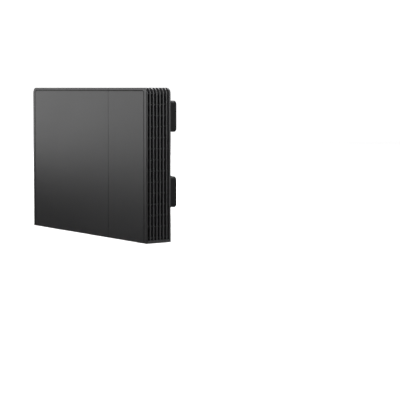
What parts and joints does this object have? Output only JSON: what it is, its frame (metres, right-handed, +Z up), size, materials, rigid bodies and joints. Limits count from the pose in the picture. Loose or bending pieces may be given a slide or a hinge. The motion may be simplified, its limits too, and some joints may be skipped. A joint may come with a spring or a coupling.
{
  "type": "mini pc",
  "caption": "Slim flat mini PC with a split matt front cover, ribbed vent walls, an inner port bay, a full board and cooler inside, and a rear mounting bracket.",
  "frame": {"origin": "middle of the foot of the box that holds the case and its bracket, on the surface it stands on", "axes": "+Z up, +X towards the port side, -Y out of the broad cover, +Y out of the mounting bracket"},
  "size_m": [0.288, 0.053, 0.196],
  "materials": {
    "cover_plastic": "satin charcoal moulding with a fine grain",
    "grille_plastic": "satin charcoal moulding",
    "tray_steel": "black powder coat",
    "panel_plastic": "satin charcoal moulding",
    "bracket_steel": "black powder coat",
    "screw_steel": "zinc plated",
    "plated_steel": "plain plated sheet",
    "post_brass": "turned",
    "post_plastic": "moulded",
    "control_plastic": "satin",
    "clear_plastic": "clear, moulded",
    "board_resist": "solder resist",
    "module_resist": "solder resist",
    "package_resist": "substrate with a bare die",
    "socket_plastic": "moulded",
    "header_plastic": "moulded, off-white",
    "socket_steel": "pressed shell",
    "antenna_film": "flexible film on foam",
    "lead_rubber": "jacketed lead",
    "cell_steel": "pressed steel",
    "choke_ferrite": "pressed powder",
    "copper": "nickel-free copper",
    "fin_aluminium": "mill finish",
    "blower_plastic": "moulded",
    "rotor_plastic": "moulded",
    "drive_aluminium": "cast and machined",
    "caddy_plastic": "moulded",
    "speaker_plastic": "moulded"
  },
  "bodies": {
    "case": {"antenna_leads": "lead_rubber", "antennas": "antenna_film", "audio_jack": "socket_plastic", "bay_rail": "plated_steel", "blower_header": "header_plastic", "blower_housing": "blower_plastic", "blower_lead": "lead_rubber", "blower_lid": "blower_plastic", "board_screws": "screw_steel", "bottom_audio_jack": "socket_plastic", "bottom_panel": "panel_plastic", "bottom_usb_sockets": "socket_steel", "bracket_arm_lower": "bracket_steel", "bracket_arm_upper": "bracket_steel", "bracket_screws": "screw_steel", "bracket_web": "bracket_steel", "button_guide": "post_plastic", "cable_comb": "post_plastic", "card_sockets": "socket_plastic", "coin_cell": "cell_steel", "coin_cell_holder": "socket_plastic", "cold_plate": "copper", "cooler_screws": "screw_steel", "cover_posts": "post_plastic", "drive_connector": "socket_plastic", "drive_cradle": "plated_steel", "drive_riser": "board_resist", "fin_stack": "fin_aluminium", "heat_pipes": "copper", "io_plate": "plated_steel", "memory_module_lower": "module_resist", "memory_module_upper": "module_resist", "memory_sockets": "socket_plastic", "motherboard": "board_resist", "network_jack": "socket_steel", "power_chokes": "choke_ferrite", "power_inlet": "socket_plastic", "power_switch": "post_plastic", "processor": "package_resist", "rear_tray": "tray_steel", "speaker": "speaker_plastic", "ssd_module": "module_resist", "ssd_screw": "screw_steel", "standoffs": "post_brass", "status_light_pipe": "clear_plastic", "usb_stacks": "socket_steel", "video_sockets": "socket_steel", "wireless_card": "module_resist"},
    "main_cover": {"main_cover": "cover_plastic", "main_grille_side": "grille_plastic", "main_grille_top": "grille_plastic"},
    "port_cover": {"port_cover": "cover_plastic", "port_grille_side": "grille_plastic", "port_grille_top": "grille_plastic"},
    "button": {"power_button": "control_plastic"},
    "latch": {"cover_latch": "control_plastic"},
    "rotor": {"blower_rotor": "rotor_plastic"},
    "caddy": {"drive_caddy": "caddy_plastic", "storage_drive": "drive_aluminium"}
  },
  "joints": [
    {"name": "main_cover_lift", "type": "slide", "parent": "case", "child": "main_cover", "axis": [0, -1, 0], "range_m": [0, 0.06]},
    {"name": "port_cover_slide", "type": "slide", "parent": "case", "child": "port_cover", "axis": [1, 0, 0], "range_m": [0, 0.095]},
    {"name": "power_button_press", "type": "slide", "parent": "case", "child": "button", "axis": [0, 0, 1], "range_m": [0, 0.0012], "stiffness_N_per_m": 400},
    {"name": "cover_latch_slide", "type": "slide", "parent": "case", "child": "latch", "axis": [1, 0, 0], "range_m": [0, 0.005], "stiffness_N_per_m": 200},
    {"name": "blower_spin", "type": "hinge", "parent": "case", "child": "rotor", "pos_m": [-0.084, -0.01, 0.134], "axis": [0, 1, 0], "continuous": true},
    {"name": "caddy_slide", "type": "slide", "parent": "case", "child": "caddy", "axis": [1, 0, 0], "range_m": [0, 0.009]}
  ]
}
